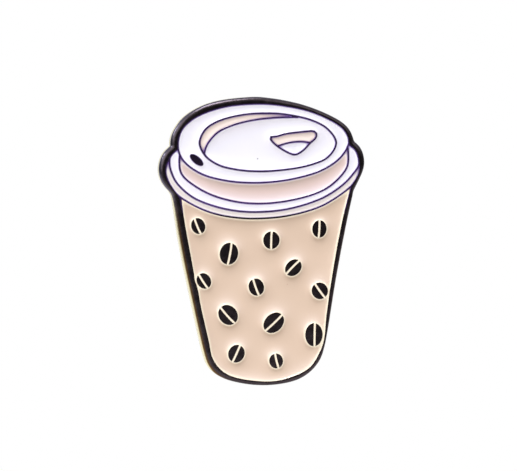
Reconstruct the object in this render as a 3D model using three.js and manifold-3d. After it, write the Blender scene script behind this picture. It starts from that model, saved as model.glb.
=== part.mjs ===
// Soft-enamel lapel pin in the shape of a takeaway coffee cup, held by two posts and butterfly clutches.
//
// Millimetres, +Z up as worn. The face looks along -Y, the posts stick out along +Y.
// The origin is on the plate's flat back, midway between the two posts.

import * as THREE from 'three';
import { mergeVertices } from 'three/addons/utils/BufferGeometryUtils.js';
import Module from 'manifold-3d';

const wasm = await Module();
wasm.setup();

// ---- driving dimensions ------------------------------------------------------------------------

const PLATE_THICKNESS = 1.6;
const POCKET_DEPTH = 0.5;
const ENAMEL_THICKNESS = 0.25;
const LINE_WIDTH = 0.19;
const RIM_SPREAD = 0.09;
const FIT_GAP = 0.02;

const POST_SPACING = 16;
const POST_LENGTH = 8;
const POST_RADIUS = 0.575;
const POST_FILLET = 0.22;
const POINT_RADIUS = 0.12;
const GROOVE_RADIUS = 0.43;
const GROOVE_MARGIN = 0.2;
const GROOVE_SLOPE = 0.15;
const FOOT_RADIUS = 1.8;
const FOOT_HEIGHT = 0.2;
const SEAT_RADIUS = 2.2;
const SEAT_DEPTH = 0.2;
const SOLDER_GAP = 0.04;

const FABRIC_GAP = 2.4;
const CAP_RADIUS = 5.7;
const CAP_HOLE_RADIUS = 0.8;
const CAP_SHEET = 0.28;
const CAP_RIM_HEIGHT = 1.08;
const SPRING_GAP = 0.04;
const STRIP_SHEET = 0.25;
const STRIP_HALF_WIDTH = 2.2;
const NECK_HALF_WIDTH = 1.1;
const NECK_END_X = 3.95;
const LEG_X = 2.72;
const LOWER_JAW_HEIGHT = 3.42;
const UPPER_JAW_HEIGHT = 3.77;
const WING_RISE_X = 3.8;
const WING_TIP_X = 5.75;
const WING_TIP_HEIGHT = 5.2;
const JAW_HOLE_RADIUS = 0.62;
const JAW_TRAVEL = 0.5;

const ROUND_SIDES = 28;

// ---- finishes ----------------------------------------------------------------------------------

function finish(colour, roughness, metalness) {
  return new THREE.MeshStandardMaterial({ color: colour, roughness, metalness });
}

const BLACK_NICKEL = () => finish(0x2c2a2e, 0.35, 1);
const BRIGHT_NICKEL = () => finish(0xb9b6b0, 0.3, 1);
const SOLDER = () => finish(0x4a484c, 0.5, 1);
const WHITE_ENAMEL = () => finish(0xf6f4fc, 0.15, 0);
const CREAM_ENAMEL = () => finish(0xf7efe6, 0.15, 0);
const ROSE_ENAMEL = () => finish(0xe6cfc9, 0.15, 0);
const SAND_ENAMEL = () => finish(0xe8ccb5, 0.15, 0);

// ---- outlines of the drawing, x to the right and y up ------------------------------------------

// An even run of points along a smooth curve through the given points.
function smooth(points, count, closed = false) {
  const through = points.map(([x, y]) => new THREE.Vector3(x, y, 0));
  const curve = new THREE.CatmullRomCurve3(through, closed, 'centripetal');
  const run = curve.getSpacedPoints(count);
  if (closed) {
    run.pop();
  }
  return run.map((p) => new THREE.Vector2(p.x, p.y));
}

function corner(...points) {
  return points.map(([x, y]) => new THREE.Vector2(x, y));
}

// Smooth stretches that meet at corners.
function joined(...stretches) {
  const outline = [];
  for (const stretch of stretches) {
    const last = outline[outline.length - 1];
    const repeats = last && last.distanceTo(stretch[0]) < 1e-6;
    outline.push(...(repeats ? stretch.slice(1) : stretch));
  }
  if (outline[0].distanceTo(outline[outline.length - 1]) < 1e-6) {
    outline.pop();
  }
  return outline;
}

// The same outline moved outwards by a distance, or inwards where it is negative.
function grow(outline, distance) {
  const points = THREE.ShapeUtils.isClockWise(outline) ? [...outline].reverse() : outline;
  return points.map((point, i) => {
    const before = points[(i + points.length - 1) % points.length];
    const after = points[(i + 1) % points.length];
    const a = point.clone().sub(before).normalize();
    const b = after.clone().sub(point).normalize();
    const mitre = new THREE.Vector2(a.y + b.y, -a.x - b.x);
    return mitre.multiplyScalar(distance / (1 + a.dot(b))).add(point);
  });
}

const LEFT_NOTCH = [-10.26, 10.64];
const RIGHT_NOTCH = [10.31, 11.1];
const RIGHT_WAIST = [10.24, 5.67];
const LEFT_WAIST = [-10.0, 4.6];

const drawnOutline = joined(
  smooth([LEFT_NOTCH, [-10.2, 11.45], [-9.84, 12.4], [-8.78, 13.8], [-6.76, 15.03], [-4.73, 15.63],
    [-2.03, 15.96], [0, 15.98], [4.73, 15.09], [8.78, 13.31], [9.78, 12.34], RIGHT_NOTCH], 46),
  smooth([RIGHT_NOTCH, [10.96, 10.43], [11.31, 9.67], [11.43, 8.78], [11.29, 7.9], RIGHT_WAIST], 14),
  smooth([RIGHT_WAIST, [9.36, 1.67], [8.22, -4.34], [7.24, -10.34], [6.96, -11.68], [6.56, -13.01],
    [5.6, -14.34], [4.05, -15.38], [1.35, -15.95], [-1.35, -15.89], [-4.05, -15.27], [-5.46, -14.48],
    [-6.15, -13.68], [-6.63, -12.34], [-7.84, -7.01], [-9.23, -0.33], LEFT_WAIST], 76),
  smooth([LEFT_WAIST, [-10.25, 5.45], [-10.97, 6.34], [-11.35, 7.01], [-11.54, 8.0], [-11.4, 9.01],
    [-10.98, 9.9], LEFT_NOTCH], 16),
);

const plateOutline = grow(drawnOutline, RIM_SPREAD);

// Centre lines of the raised lines. Each closes above or outside, under the shapes drawn over it.
const cupBody = joined(
  smooth([[10.1, 6.5], [9.22, 3.0], [8.66, 0.33], [7.95, -3.67], [7.27, -8.34], [7.01, -11.01],
    [6.56, -12.34], [5.48, -14.06], [4.1, -14.92], [1.35, -15.68], [-1.35, -15.56], [-3.47, -15.09],
    [-4.68, -14.42], [-5.75, -13.01], [-6.2, -11.01], [-7.11, -7.01], [-7.44, -5.2],
    [-7.76, -4.3], [-7.85, -3.5], [-8.9, 2.34], [-9.45, 6.5]], 74),
  corner([0, 8]),
);

const lidLip = joined(
  smooth([[11.01, 8.51], [10.85, 7.56], [10.0, 6.19], [7.43, 4.34], [5.63, 3.56], [2.93, 2.89],
    [0.23, 2.6], [-2.48, 2.64], [-5.18, 3.08], [-6.98, 3.71], [-8.8, 4.69], [-9.72, 5.4],
    [-10.48, 6.46], [-10.88, 7.48], [-10.9, 8.2], [-10.68, 8.92]], 56),
  corner([0, 10]),
);

const lidSkirt = joined(
  smooth([[9.75, 10.75], [10.42, 10.2], [10.8, 9.29], [10.81, 8.45], [10.13, 7.44], [9.23, 6.47],
    [7.43, 5.2], [5.63, 4.4], [2.93, 3.66], [0.23, 3.34], [-2.48, 3.4], [-5.18, 3.91], [-7.88, 5.0],
    [-9.68, 6.62], [-10.26, 7.78], [-10.48, 8.78], [-10.37, 9.51], [-9.97, 9.99], [-9.48, 10.36]], 64),
  corner([0, 12]),
);

const lidWall = joined(
  smooth([[9.6, 10.34], [9.63, 9.2], [9.52, 8.35], [8.93, 7.42], [7.43, 6.07], [5.63, 5.23],
    [2.93, 4.56], [0.23, 4.26], [-2.48, 4.38], [-5.18, 5.02], [-6.98, 5.83], [-8.78, 7.13],
    [-9.25, 7.85], [-9.38, 9.0], [-9.28, 10.12]], 52),
  corner([0, 12]),
);

const lidTop = smooth([[-9.53, 11.01], [-9.14, 12.4], [-8.15, 13.44], [-6.78, 14.22], [-4.06, 15.05],
  [0, 15.33], [2.71, 15.06], [5.44, 14.44], [8.16, 13.22], [9.21, 12.37], [9.72, 11.12], [9.23, 9.96],
  [8.33, 8.95], [6.53, 7.88], [3.83, 7.07], [1.13, 6.66], [-1.58, 6.57], [-4.28, 6.84], [-6.98, 7.61],
  [-8.78, 8.88], [-9.39, 9.9]], 76, true);

const lidRecess = smooth([[-7.11, 11.01], [-6.49, 12.45], [-5.01, 13.42], [-2.11, 14.14], [0.11, 14.27],
  [2.35, 14.17], [5.42, 13.51], [7.22, 12.57], [8.25, 11.01], [7.36, 9.42], [5.35, 8.54], [2.25, 7.98],
  [-0.92, 7.84], [-3.42, 8.12], [-5.03, 8.58], [-6.45, 9.57]], 64, true);

const recessFloor = joined(
  smooth([[-6.75, 9.0], [-6.51, 10.23], [-6.15, 11.01], [-5.1, 12.15], [-3.76, 12.83], [-1.6, 13.43],
    [1.01, 13.76], [3.94, 13.86]], 26),
  corner([6, 14.6], [10, 14], [10, 7], [-6, 7]),
);

const tab = smooth([[0.9, 11.65], [1.46, 11.7], [2.59, 11.99], [3.72, 12.14], [4.84, 12.25], [5.63, 12.29],
  [5.97, 12.12], [6.02, 11.79], [5.86, 11.45], [5.29, 10.95], [4.73, 10.34], [4.17, 9.9], [3.6, 9.67],
  [3.04, 9.81], [2.25, 10.21], [1.58, 10.65], [1.01, 11.18], [0.82, 11.51]], 40, true);

const tabFront = joined(
  smooth([[0.8, 10.3], [1.58, 10.61], [2.93, 11.0], [4.28, 11.12], [5.35, 10.98], [6.2, 10.7]], 12),
  corner([6, 9], [1, 9]),
);

// ---- raised islands ----------------------------------------------------------------------------

// A leaning ellipse.
function oval(x, y, length, width, turn, count) {
  const centre = new THREE.Vector2(x, y);
  const points = [];
  for (let i = 0; i < count; i += 1) {
    const angle = (2 * Math.PI * i) / count;
    const point = new THREE.Vector2((length / 2) * Math.cos(angle), (width / 2) * Math.sin(angle));
    points.push(point.rotateAround(new THREE.Vector2(), THREE.MathUtils.degToRad(turn)).add(centre));
  }
  return points;
}

const SIP_HOLE = oval(-7.45, 9.12, 1.84, 0.8, -40, 16);

const SLIT_WIDTH = 0.24;
const HALF_BEAN_POINTS = 9;

// x, y, length along the slit, width across it, turn of the slit, slit's shift, slit's bow
const BEANS = [
  [-7.28, 1.8, 1.84, 1.54, 113, 0.06, 0.05],
  [6.37, 1.38, 1.96, 1.62, 87, 0.04, -0.03],
  [0.94, 0.16, 1.99, 1.84, 88, 0, 0.02],
  [-3.84, -1.3, 2.46, 2.06, 80, -0.08, -0.05],
  [3.42, -2.93, 2.07, 1.66, 45, 0.08, 0.04],
  [-6.65, -4.3, 1.85, 1.54, 123, 0.09, 0.03],
  [-0.76, -5.05, 1.97, 1.71, 110, 0.04, 0.04],
  [6.42, -5.55, 1.9, 1.82, 126, -0.02, 0.03],
  [-3.94, -8.12, 2.4, 2.04, 132, 0.07, 0.06],
  [1.21, -9.06, 2.58, 2.0, 43, 0, -0.04],
  [5.76, -10.46, 2.62, 1.97, 89, -0.09, 0.02],
  [-3.0, -12.46, 2.02, 1.83, 65, 0.02, -0.02],
  [1.48, -13.34, 1.69, 1.55, 104, -0.07, 0.03],
];

// One half of a bean: an ellipse's arc, closed by the bowed edge of the slit. side is 1 or -1.
function halfBean([x, y, length, width, turn, shift, bow], side) {
  const edge = shift * side + SLIT_WIDTH / 2;
  const start = Math.asin(edge / (width / 2));
  const end = Math.PI - start;
  const points = [];
  for (let i = 0; i < HALF_BEAN_POINTS; i += 1) {
    const angle = start + ((end - start) * i) / (HALF_BEAN_POINTS - 1);
    points.push(new THREE.Vector2((length / 2) * Math.cos(angle), (width / 2) * Math.sin(angle)));
  }
  for (const along of [-0.5, 0, 0.5]) {
    const reach = (length / 2) * Math.cos(start) * along;
    points.push(new THREE.Vector2(reach, edge + bow * side * (1 - along * along)));
  }
  const lean = THREE.MathUtils.degToRad(turn);
  return points.map((p) => new THREE.Vector2(p.x, p.y * side)
    .rotateAround(new THREE.Vector2(), lean)
    .add(new THREE.Vector2(x, y)));
}

const HALF_BEANS = BEANS.flatMap((bean) => [halfBean(bean, 1), halfBean(bean, -1)]);

// ---- solids ------------------------------------------------------------------------------------

function toSolid(geometry) {
  const bare = geometry.clone();
  bare.deleteAttribute('normal');
  bare.deleteAttribute('uv');
  const merged = mergeVertices(bare, 1e-5);
  const index = merged.index.array;
  const kept = [];
  for (let i = 0; i < index.length; i += 3) {
    const [a, b, c] = [index[i], index[i + 1], index[i + 2]];
    if (a !== b && b !== c && c !== a) {
      kept.push(a, b, c);
    }
  }
  return new wasm.Manifold(new wasm.Mesh({
    numProp: 3,
    vertProperties: new Float32Array(merged.attributes.position.array),
    triVerts: new Uint32Array(kept),
  }));
}

function toGeometry(solid) {
  const mesh = solid.getMesh();
  const geometry = new THREE.BufferGeometry();
  geometry.setAttribute('position', new THREE.BufferAttribute(mesh.vertProperties, 3));
  geometry.setIndex(new THREE.BufferAttribute(mesh.triVerts, 1));
  return geometry;
}

function piece(name, solid, material) {
  const geometry = toGeometry(solid);
  geometry.computeVertexNormals();
  const mesh = new THREE.Mesh(geometry, material);
  mesh.name = name;
  return mesh;
}

// An outline extruded along z, from one height to another.
function slab(outline, from, to) {
  const geometry = new THREE.ExtrudeGeometry(new THREE.Shape(outline), {
    depth: to - from,
    bevelEnabled: false,
  });
  geometry.translate(0, 0, from);
  return toSolid(geometry);
}

// A profile of radius and height turned about the y axis.
function turned(profile) {
  const outline = profile.map(([radius, height]) => new THREE.Vector2(radius, height));
  return toSolid(new THREE.LatheGeometry(outline, ROUND_SIDES));
}

// A sheet's section: a centre line given the sheet's thickness.
function sheet(line, thickness) {
  const points = line.map(([x, y]) => new THREE.Vector2(x, y));
  const normals = points.map((point, i) => {
    const before = points[Math.max(i - 1, 0)];
    const after = points[Math.min(i + 1, points.length - 1)];
    const a = (i > 0 ? point.clone().sub(before) : after.clone().sub(point)).normalize();
    const b = (i < points.length - 1 ? after.clone().sub(point) : a.clone()).normalize();
    return new THREE.Vector2(-a.y - b.y, a.x + b.x).multiplyScalar(1 / (1 + a.dot(b)));
  });
  const left = points.map((p, i) => p.clone().addScaledVector(normals[i], thickness / 2));
  const right = points.map((p, i) => p.clone().addScaledVector(normals[i], -thickness / 2));
  return [...left, ...right.reverse()];
}

// ---- the face: plate and enamel, drawn flat with z towards the viewer ---------------------------

const POCKET_FLOOR = PLATE_THICKNESS - POCKET_DEPTH;
const CUT_TOP = PLATE_THICKNESS + 1;

// A cell lies within some lines, has other shapes over it, and flows round islands.
function cell(name, enamel, within, over = [], islands = []) {
  return { name, enamel, within, over, islands };
}

const CELLS = [
  cell('enamel_cup_body', SAND_ENAMEL, [cupBody], [lidLip], HALF_BEANS),
  cell('enamel_lid_lip', CREAM_ENAMEL, [lidLip], [lidSkirt]),
  cell('enamel_lid_skirt', WHITE_ENAMEL, [lidSkirt], [lidWall, lidTop]),
  cell('enamel_lid_wall', ROSE_ENAMEL, [lidWall], [lidTop]),
  cell('enamel_lid_rim', WHITE_ENAMEL, [lidTop], [lidRecess], [SIP_HOLE]),
  cell('enamel_lid_crescent', SAND_ENAMEL, [lidRecess], [recessFloor]),
  cell('enamel_lid_recess', WHITE_ENAMEL, [lidRecess, recessFloor], [tab]),
  cell('enamel_tab_upper', SAND_ENAMEL, [tab], [tabFront]),
  cell('enamel_tab_lower', WHITE_ENAMEL, [tab, tabFront]),
];

// A cell's space between two heights, kept clear of the metal round it by a margin.
function cellSolid({ within, over, islands }, margin, from, to) {
  const edge = LINE_WIDTH / 2 + margin;
  let solid = slab(grow(within[0], -edge), from, to);
  for (const outline of within.slice(1)) {
    solid = solid.intersect(slab(grow(outline, -edge), from - 1, to + 1));
  }
  for (const outline of over) {
    solid = solid.subtract(slab(grow(outline, edge), from - 1, to + 1));
  }
  for (const island of islands) {
    solid = solid.subtract(slab(grow(island, margin), from - 1, to + 1));
  }
  return solid;
}

function makeBasePlate() {
  let plate = slab(plateOutline, 0, PLATE_THICKNESS);
  for (const pocket of CELLS) {
    plate = plate.subtract(cellSolid(pocket, 0, POCKET_FLOOR, CUT_TOP));
  }
  for (const side of [-1, 1]) {
    const seat = oval(0, (side * POST_SPACING) / 2, 2 * SEAT_RADIUS, 2 * SEAT_RADIUS, 0, ROUND_SIDES);
    plate = plate.subtract(slab(seat, -1, SEAT_DEPTH));
  }
  return piece('base_plate', plate, BLACK_NICKEL());
}

function makeEnamel(pocket) {
  const floor = POCKET_FLOOR + FIT_GAP;
  const solid = cellSolid(pocket, FIT_GAP, floor, floor + ENAMEL_THICKNESS);
  return piece(pocket.name, solid, pocket.enamel());
}

// ---- posts, with y the distance behind the plate's back ----------------------------------------

function makePost(place) {
  const seatFloor = FIT_GAP - SEAT_DEPTH;
  const grooveStart = FABRIC_GAP + LOWER_JAW_HEIGHT - GROOVE_MARGIN;
  const grooveEnd = FABRIC_GAP + UPPER_JAW_HEIGHT + GROOVE_MARGIN;
  const solid = turned([
    [0, seatFloor],
    [FOOT_RADIUS, seatFloor],
    [FOOT_RADIUS, FOOT_HEIGHT],
    [POST_RADIUS + POST_FILLET, FOOT_HEIGHT],
    [POST_RADIUS + POST_FILLET / 4, FOOT_HEIGHT + POST_FILLET / 3],
    [POST_RADIUS, FOOT_HEIGHT + POST_FILLET],
    [POST_RADIUS, grooveStart - GROOVE_SLOPE],
    [GROOVE_RADIUS, grooveStart],
    [GROOVE_RADIUS, grooveEnd],
    [POST_RADIUS, grooveEnd + GROOVE_SLOPE],
    [POST_RADIUS, grooveEnd + 2 * GROOVE_SLOPE],
    [POINT_RADIUS, POST_LENGTH - POINT_RADIUS / 2],
    [0, POST_LENGTH],
  ]);
  return piece(`${place}_post`, solid, BLACK_NICKEL());
}

function makeSolder(place) {
  const seatFloor = FIT_GAP - SEAT_DEPTH;
  const inner = FOOT_RADIUS + SOLDER_GAP;
  const outer = SEAT_RADIUS - SOLDER_GAP;
  const solid = turned([
    [inner, seatFloor],
    [outer, seatFloor],
    [outer, 0],
    [inner, FOOT_HEIGHT * 0.7],
    [inner, seatFloor],
  ]);
  return piece(`${place}_post_solder`, solid, SOLDER());
}

// ---- butterfly clutch, with y the distance behind its own front face ----------------------------

function makeCap(place) {
  const half = CAP_SHEET / 2;
  const section = sheet([
    [CAP_HOLE_RADIUS, half],
    [CAP_RADIUS - 0.9, half],
    [CAP_RADIUS - 0.4, half + 0.13],
    [CAP_RADIUS - half, half + 0.5],
    [CAP_RADIUS - half - 0.05, half + 0.9],
    [CAP_RADIUS - 0.45, half + CAP_RIM_HEIGHT],
    [CAP_RADIUS - 0.72, half + CAP_RIM_HEIGHT - 0.1],
  ], CAP_SHEET).reverse().map((p) => [p.x, p.y]);
  return piece(`${place}_clutch_cap`, turned([...section, section[0]]), BRIGHT_NICKEL());
}

const CUT_REACH = 10;

// A strip's section extruded across the strip's whole width.
function strip(line) {
  return slab(sheet(line, STRIP_SHEET), -STRIP_HALF_WIDTH, STRIP_HALF_WIDTH);
}

// An outline in plan, x and z, made tall enough to cut through the whole clutch.
function tall(outline) {
  return slab(outline, -CUT_REACH, CUT_REACH).rotate([90, 0, 0]);
}

function makeSpring(place) {
  const floor = CAP_SHEET + SPRING_GAP + STRIP_SHEET / 2;
  const legGap = STRIP_SHEET / 2 + 2 * SPRING_GAP;
  const strap = strip([
    [-LEG_X, LOWER_JAW_HEIGHT - legGap],
    [-LEG_X, floor],
    [LEG_X, floor],
    [LEG_X, UPPER_JAW_HEIGHT - legGap],
  ]);
  const postHole = tall(oval(0, 0, 2 * CAP_HOLE_RADIUS, 2 * CAP_HOLE_RADIUS, 0, ROUND_SIDES));
  const windowHalf = NECK_HALF_WIDTH + 0.2;
  const sill = LOWER_JAW_HEIGHT - 1.4;
  const window = slab(
    corner([LEG_X - 1, sill], [LEG_X + 1, sill], [LEG_X + 1, CUT_REACH], [LEG_X - 1, CUT_REACH]),
    -windowHalf,
    windowHalf,
  );
  return piece(`${place}_clutch_spring`, strap.subtract(postHole).subtract(window), BRIGHT_NICKEL());
}

// A jaw plate with its wing. side is 1 for the wing on the right, and -1 for the one on the left.
function makeWing(place, name, side, height) {
  const strap = strip([
    [-LEG_X - STRIP_SHEET / 2, height],
    [WING_RISE_X, height],
    [WING_RISE_X + 0.6, height + 0.3],
    [WING_RISE_X + 1.3, height + (WING_TIP_HEIGHT - height) * 0.6],
    [WING_TIP_X, WING_TIP_HEIGHT],
  ].map(([x, y]) => [x * side, y]));
  const upperEdge = joined(
    corner([-LEG_X - 1, STRIP_HALF_WIDTH], [1.3, STRIP_HALF_WIDTH], [1.75, NECK_HALF_WIDTH]),
    corner([1.75, NECK_HALF_WIDTH], [NECK_END_X, NECK_HALF_WIDTH]),
    smooth([[4.05, 1.7], [4.4, 2.1], [5.0, 2.0], [5.5, 1.35], [WING_TIP_X, 0]], 8),
  );
  const lowerEdge = upperEdge.slice(0, -1).reverse().map((p) => new THREE.Vector2(p.x, -p.y));
  const plan = [...upperEdge, ...lowerEdge].map((p) => new THREE.Vector2(p.x * side, p.y));
  const wide = JAW_HOLE_RADIUS;
  const far = JAW_TRAVEL * side;
  let solid = strap.intersect(tall(plan));
  solid = solid.subtract(tall(corner([0, -wide], [far, -wide], [far, wide], [0, wide])));
  for (const end of [0, far]) {
    solid = solid.subtract(tall(oval(end, 0, 2 * wide, 2 * wide, 0, ROUND_SIDES)));
  }
  return piece(`${place}_clutch_${name}_wing`, solid, BRIGHT_NICKEL());
}

// ---- assembly ----------------------------------------------------------------------------------

const pin = new THREE.Group();

const face = new THREE.Group();
face.rotation.x = Math.PI / 2;
face.add(makeBasePlate());
for (const pocket of CELLS) {
  face.add(makeEnamel(pocket));
}
pin.add(face);

for (const [place, side] of [['upper', 1], ['lower', -1]]) {
  const fastener = new THREE.Group();
  fastener.position.z = (side * POST_SPACING) / 2;
  fastener.add(makePost(place), makeSolder(place));

  const clutch = new THREE.Group();
  clutch.position.y = FABRIC_GAP;
  clutch.add(
    makeCap(place),
    makeSpring(place),
    makeWing(place, 'right', 1, LOWER_JAW_HEIGHT),
    makeWing(place, 'left', -1, UPPER_JAW_HEIGHT),
  );
  fastener.add(clutch);
  pin.add(fastener);
}

export default pin;
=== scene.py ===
import math

import bpy
import numpy as np
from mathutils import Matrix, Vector, geometry, noise


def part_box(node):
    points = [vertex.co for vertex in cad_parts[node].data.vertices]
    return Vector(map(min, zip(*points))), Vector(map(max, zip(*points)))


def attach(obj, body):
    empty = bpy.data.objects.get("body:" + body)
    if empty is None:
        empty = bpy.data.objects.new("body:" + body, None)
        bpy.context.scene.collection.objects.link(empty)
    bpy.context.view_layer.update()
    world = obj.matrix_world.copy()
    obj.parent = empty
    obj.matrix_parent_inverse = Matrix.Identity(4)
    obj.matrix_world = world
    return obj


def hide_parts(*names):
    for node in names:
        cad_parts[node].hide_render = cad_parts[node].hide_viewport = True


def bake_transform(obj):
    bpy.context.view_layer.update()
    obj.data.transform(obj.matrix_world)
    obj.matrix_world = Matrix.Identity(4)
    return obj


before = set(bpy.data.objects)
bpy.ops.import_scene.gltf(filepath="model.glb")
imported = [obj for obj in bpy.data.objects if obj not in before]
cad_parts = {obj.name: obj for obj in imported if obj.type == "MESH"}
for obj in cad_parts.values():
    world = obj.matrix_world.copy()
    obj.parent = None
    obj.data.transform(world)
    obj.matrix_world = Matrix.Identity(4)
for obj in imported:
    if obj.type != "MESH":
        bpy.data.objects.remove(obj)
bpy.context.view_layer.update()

# Lengths are in millimetres; MM turns them into metres. The face looks along -Y and +Z is up.
MM = 0.001

# ---- the pin's own measures, from the frame ------------------------------------------------------

PLATE_LOW, PLATE_HIGH = (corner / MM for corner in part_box("base_plate"))
FRONT = PLATE_LOW.y                                    # the struck face, at the tops of the lines
BACK = PLATE_HIGH.y
ENAMEL_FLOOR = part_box("enamel_cup_body")[1].y / MM     # the underside of every enamel pool
FIT_GAP = 0.02                                         # what pieces that are set together are kept apart by
POCKET_FLOOR = ENAMEL_FLOOR + FIT_GAP
PLACES = ("upper", "lower")


def middle(node):
    """The middle of a node's box, in millimetres."""
    low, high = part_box(node)
    return (low + high) / 2 / MM


def radius(node):
    """Half of a node's width, in millimetres."""
    low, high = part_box(node)
    return (high.x - low.x) / 2 / MM


POSTS = {place: middle(place + "_post") for place in PLACES}
CLUTCH_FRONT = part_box("upper_clutch_cap")[0].y / MM

# ---- working on one piece at a time --------------------------------------------------------------


SAME_SPOT = 0.0005         # points nearer than this are joined


def let_go():
    """Object mode with nothing selected."""
    if bpy.context.object and bpy.context.object.mode != "OBJECT":
        bpy.ops.object.mode_set(mode="OBJECT")
    bpy.ops.object.select_all(action="DESELECT")


def take(thing):
    """Makes a thing the one that operators act on."""
    let_go()
    thing.select_set(True)
    bpy.context.view_layer.objects.active = thing


def settled(thing, smooth_angle):
    """Applies a finished piece's modifiers and its place, turns its faces outwards and smooths it."""
    take(thing)
    for modifier in list(thing.modifiers):
        bpy.ops.object.modifier_apply(modifier=modifier.name)
    bpy.ops.object.transform_apply(location=True, rotation=True, scale=True)
    bpy.ops.object.mode_set(mode="EDIT")
    bpy.ops.mesh.select_all(action="SELECT")
    bpy.ops.mesh.remove_doubles(threshold=SAME_SPOT * MM)
    bpy.ops.mesh.normals_make_consistent(inside=False)
    bpy.ops.object.mode_set(mode="OBJECT")
    bpy.ops.object.shade_smooth_by_angle(angle=math.radians(smooth_angle))
    let_go()
    return thing


# ---- outlines, in the plane of the face (x, z) ---------------------------------------------------


def face_loops(node, level):
    """The closed outlines round a node's flat faces at one depth, with the faces on their left."""
    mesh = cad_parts[node].data
    mesh.calc_loop_triangles()
    spots, index = np.unique(
        np.round(np.array([v.co for v in mesh.vertices]) / MM, 3), axis=0, return_inverse=True)
    index = index.reshape(-1)
    ends = set()
    for triangle in mesh.loop_triangles:
        corners = [int(index[i]) for i in triangle.vertices]
        if max(abs(spots[c][1] - level) for c in corners) > 0.002 or len(set(corners)) < 3:
            continue
        for a, b in zip(corners, corners[1:] + corners[:1]):
            if (b, a) in ends:
                ends.remove((b, a))
            else:
                ends.add((a, b))
    following = dict(sorted(ends))
    loops = []
    while following:
        start = min(following)
        here = following.pop(start)
        loop = [start]
        while here != start:
            loop.append(here)
            here = following.pop(here)
        loops.append(spots[loop][:, [0, 2]])
    return loops


def outward(loop):
    """Mitred normals that point to the loop's right."""
    before = loop - np.roll(loop, 1, axis=0)
    after = np.roll(loop, -1, axis=0) - loop
    a = before / np.linalg.norm(before, axis=1)[:, None]
    b = after / np.linalg.norm(after, axis=1)[:, None]
    mitre = np.stack([a[:, 1] + b[:, 1], -a[:, 0] - b[:, 0]], axis=1)
    return mitre / np.maximum(1 + (a * b).sum(axis=1), 0.4)[:, None]


def area(loop):
    """The space a loop goes round: above 0 where it runs anticlockwise, below 0 where clockwise."""
    x, z = loop.T
    return 0.5 * float(np.dot(x, np.roll(z, -1)) - np.dot(z, np.roll(x, -1)))


SHORTEST_RUN = 0.03        # corners nearer to each other than this are taken as one


def flowing(loop, step, sharpest=32):
    """A smooth run of points through a loop's corners. A corner that turns further than sharpest, in
    degrees, stays sharp."""
    keep = [0]
    for k in range(1, len(loop)):
        if np.linalg.norm(loop[k] - loop[keep[-1]]) > SHORTEST_RUN:
            keep.append(k)
    if np.linalg.norm(loop[keep[-1]] - loop[0]) < SHORTEST_RUN:
        keep.pop()
    loop = loop[keep]
    runs = np.roll(loop, -1, axis=0) - loop
    lengths = np.linalg.norm(runs, axis=1)
    after = runs / lengths[:, None]
    before = np.roll(after, 1, axis=0)
    turn = np.degrees(np.arccos(np.clip((after * before).sum(axis=1), -1, 1)))
    back = np.roll(lengths, 1)[:, None]
    ahead = lengths[:, None]
    through = before * ahead + after * back
    through /= np.linalg.norm(through, axis=1)[:, None]
    sharp = (turn > sharpest)[:, None]
    leaving = np.where(sharp, after, through)
    arriving = np.roll(np.where(sharp, before, through), -1, axis=0)
    points = []
    for k, length in enumerate(lengths):
        count = max(1, int(math.ceil(length / step)))
        a, b = loop[k], loop[(k + 1) % len(loop)]
        for t in np.arange(count) / count:
            points.append(
                a * (2 * t**3 - 3 * t**2 + 1) + b * (3 * t**2 - 2 * t**3)
                + (leaving[k] * (t**3 - 2 * t**2 + t) + arriving[k] * (t**3 - t**2)) * length)
    return np.array(points)


def inside(points, loops):
    """True for points that an odd number of the loops go round."""
    odd = np.zeros(len(points), bool)
    for loop in loops:
        for a, b in zip(loop, np.roll(loop, -1, axis=0)):
            if a[1] == b[1]:
                continue
            crosses = (a[1] > points[:, 1]) != (b[1] > points[:, 1])
            x = a[0] + (points[:, 1] - a[1]) * (b[0] - a[0]) / (b[1] - a[1])
            odd ^= crosses & (points[:, 0] < x)
    return odd


def distance(points, loops):
    """How far each point is from the nearest of the loops."""
    nearest = np.full(len(points), 1e9)
    for loop in loops:
        for a, b in zip(loop, np.roll(loop, -1, axis=0)):
            along = b - a
            t = np.clip(((points - a) @ along) / max(float(along @ along), 1e-12), 0, 1)
            off = points - a - t[:, None] * along
            nearest = np.minimum(nearest, (off * off).sum(axis=1))
    return np.sqrt(nearest)


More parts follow.
